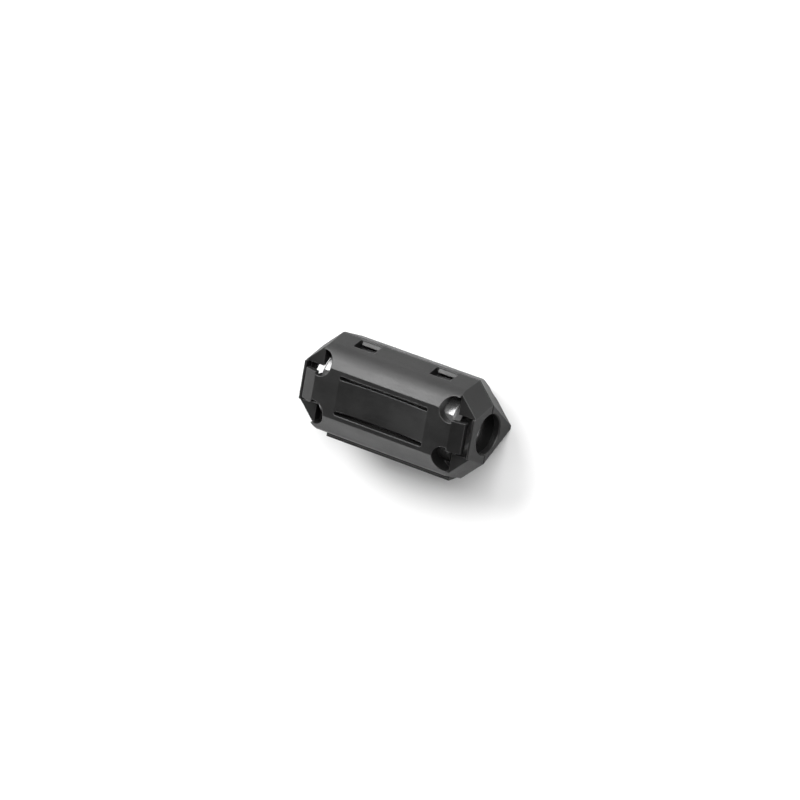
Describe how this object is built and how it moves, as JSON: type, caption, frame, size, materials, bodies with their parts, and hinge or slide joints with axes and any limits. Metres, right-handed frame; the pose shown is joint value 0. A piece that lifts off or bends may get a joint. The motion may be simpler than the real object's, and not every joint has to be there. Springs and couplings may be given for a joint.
{
  "type": "clip on ferrite bead",
  "caption": "Black clip-on ferrite bead: a hinged, snap-shut moulded case that holds a split ferrite core round a cable.",
  "frame": {"origin": "middle of the cable's bore, on the split between the two halves", "axes": "+X along the bore, +Y towards the latches (the film hinge is on -Y), +Z out of the upper half's flat"},
  "size_m": [0.025, 0.0131, 0.0104],
  "materials": {
    "case": "satin",
    "ferrite": "satin"
  },
  "bodies": {
    "lower_half": {"lower_shell": "case", "lower_core": "ferrite", "latch_hook_left": "case", "latch_hook_right": "case", "living_hinge": "case"},
    "upper_half": {"upper_shell": "case", "upper_core": "ferrite"}
  },
  "joints": [
    {"name": "case_hinge", "type": "hinge", "parent": "lower_half", "child": "upper_half", "pos_m": [0, -0.0068, 0], "axis": [1, 0, 0], "range_deg": [0, 180], "deforming": ["living_hinge", "latch_hook_left", "latch_hook_right"]}
  ]
}
